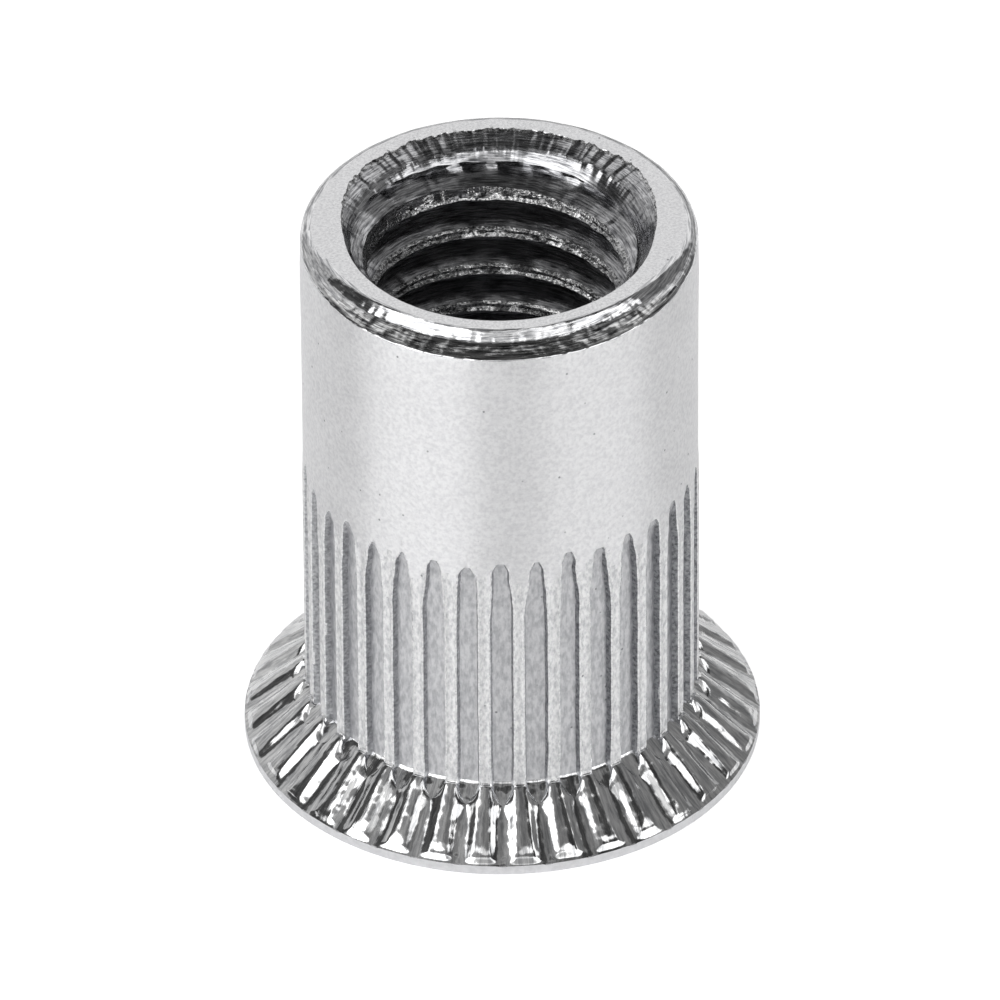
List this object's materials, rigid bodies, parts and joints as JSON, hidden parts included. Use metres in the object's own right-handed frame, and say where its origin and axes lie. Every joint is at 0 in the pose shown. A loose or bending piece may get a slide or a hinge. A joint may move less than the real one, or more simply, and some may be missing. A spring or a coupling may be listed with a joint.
{
  "type": "blind rivet nut",
  "caption": "Blind rivet nut with a countersunk ridged head, a straight-knurled shank and a tapped open tail.",
  "frame": {"origin": "centre of the flat head face, which the nut stands on", "axes": "+Z along the axis, from the head face towards the open tapped tail; one groove of the knurl is centred on each of +X, +Y, -X and -Y"},
  "size_m": [0.0172, 0.0172, 0.02],
  "materials": {
    "plated_steel": "bright zinc-plated steel, cold-formed and left unpolished"
  },
  "bodies": {
    "root": {"rivet_nut": "plated_steel"}
  },
  "joints": []
}
